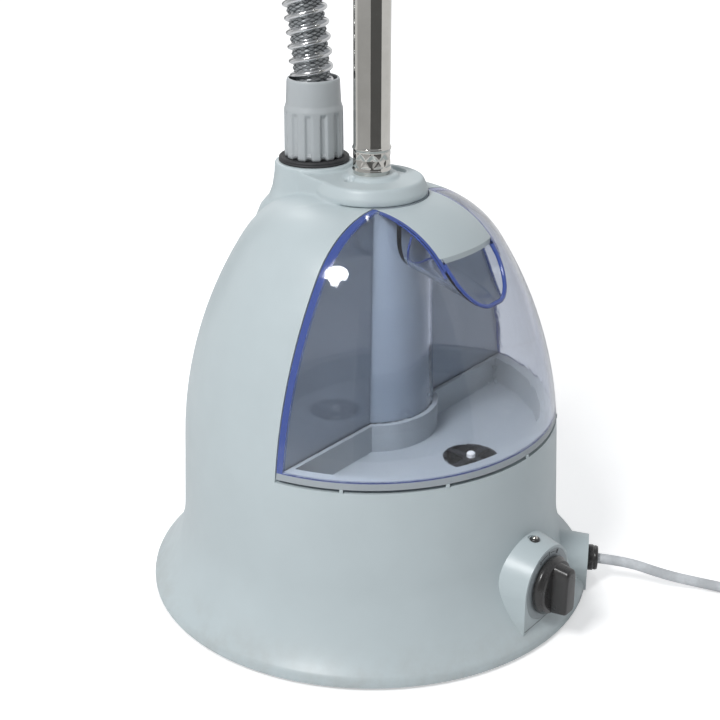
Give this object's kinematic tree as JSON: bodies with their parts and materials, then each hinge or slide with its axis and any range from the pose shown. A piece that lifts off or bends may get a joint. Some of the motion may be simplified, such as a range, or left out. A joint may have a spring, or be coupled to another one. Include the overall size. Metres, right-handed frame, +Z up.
{
  "type": "upright steamer",
  "caption": "Upright steamer with a bell-shaped base, clear lift-off water tank, telescopic chrome pole, ribbed steam hose and hand-held steam head.",
  "frame": {"origin": "on the floor, at the centre of the round base, on the pole's axis", "axes": "+Z up along the pole, -Y towards the water tank and the control knob, +Y towards the hose port, +X to the right of someone facing the knob"},
  "size_m": [0.4285, 0.6208, 1.492],
  "materials": {
    "housing_plastic": "satin",
    "seat_plastic": "fine texture",
    "tray_plastic": "satin",
    "nut_plastic": "satin",
    "tank_clear": "clear moulded plastic",
    "knob_plastic": "semi gloss",
    "valve_white": "satin",
    "cord_sheath": "soft sheath",
    "hose_braid": "braided over a wire coil",
    "silicone": "matt",
    "foot_rubber": "matt",
    "pole_chrome": "polished",
    "screw_steel": "zinc plated",
    "sole_steel": "brushed",
    "cast_aluminium": "as cast"
  },
  "bodies": {
    "base": {"housing_shell": "housing_plastic", "tank_seat": "seat_plastic", "top_cap": "housing_plastic", "cap_screws": "screw_steel", "base_pan": "seat_plastic", "base_screws": "screw_steel", "rubber_feet": "foot_rubber", "inlet_pin": "seat_plastic", "well_gasket": "silicone", "heater_body": "cast_aluminium", "heating_element": "screw_steel", "heater_bracket": "screw_steel", "thermostat": "screw_steel", "thermal_fuse": "seat_plastic", "feed_tube": "silicone", "steam_tube": "silicone", "steam_outlet": "nut_plastic", "port_gasket": "foot_rubber", "steam_hose": "hose_braid", "pole_socket": "seat_plastic", "pole_lower": "pole_chrome", "clamp_collar": "nut_plastic", "lever_pin": "screw_steel", "dial_plate": "housing_plastic", "rotary_switch": "knob_plastic", "indicator_lamp": "pole_chrome", "terminal_block": "seat_plastic", "cable_gland": "knob_plastic", "mains_cord": "cord_sheath", "cord_coil": "cord_sheath", "mains_plug": "cord_sheath"},
    "tank": {"tank_shell": "tank_clear", "tank_handle_plate": "housing_plastic", "tank_tray": "tray_plastic", "valve_cap": "knob_plastic", "cap_seal": "silicone", "valve_spring": "screw_steel"},
    "valve": {"valve_plunger": "valve_white"},
    "knob": {"control_knob": "knob_plastic"},
    "nut": {"hose_nut": "nut_plastic"},
    "mast": {"pole_upper": "pole_chrome", "pole_guide_bush": "seat_plastic", "hanger_bracket": "nut_plastic", "arm_pins": "screw_steel", "head_cradle": "nut_plastic"},
    "lever": {"clamp_lever": "knob_plastic"},
    "arm_left": {"hanger_arm_left": "nut_plastic"},
    "arm_right": {"hanger_arm_right": "nut_plastic"},
    "head": {"head_shell_front": "housing_plastic", "head_shell_rear": "housing_plastic", "sole_plate": "sole_steel", "hose_cuff": "nut_plastic"}
  },
  "joints": [
    {"name": "tank_lift", "type": "slide", "parent": "base", "child": "tank", "axis": [0, 0, 1], "range_m": [0, 0.2]},
    {"name": "valve_lift", "type": "slide", "parent": "tank", "child": "valve", "axis": [0, 0, 1], "range_m": [0, 0.004], "stiffness_N_per_m": 150, "deforming": ["valve_spring"]},
    {"name": "knob_turn", "type": "hinge", "parent": "base", "child": "knob", "pos_m": [0, -0.155, 0.041], "axis": [0, -1, 0], "range_deg": [-30, 25]},
    {"name": "nut_turn", "type": "hinge", "parent": "base", "child": "nut", "pos_m": [0, 0.051, 0.309], "axis": [0, 0, 1], "range_deg": [-180, 180]},
    {"name": "pole_telescope", "type": "slide", "parent": "base", "child": "mast", "axis": [0, 0, 1], "range_m": [-0.4, 0], "deforming": ["steam_hose"]},
    {"name": "lever_flip", "type": "hinge", "parent": "base", "child": "lever", "pos_m": [0, -0.024, 0.923], "axis": [-1, 0, 0], "range_deg": [0, 90]},
    {"name": "arm_fold_left", "type": "hinge", "parent": "mast", "child": "arm_left", "pos_m": [-0.03, 0, 1.481], "axis": [0, -1, 0], "range_deg": [0, 80]},
    {"name": "arm_fold_right", "type": "hinge", "parent": "mast", "child": "arm_right", "pos_m": [0.03, 0, 1.481], "axis": [0, 1, 0], "range_deg": [0, 80]},
    {"name": "head_lift", "type": "slide", "parent": "mast", "child": "head", "axis": [0, 0, 1], "range_m": [0, 0.03]}
  ]
}
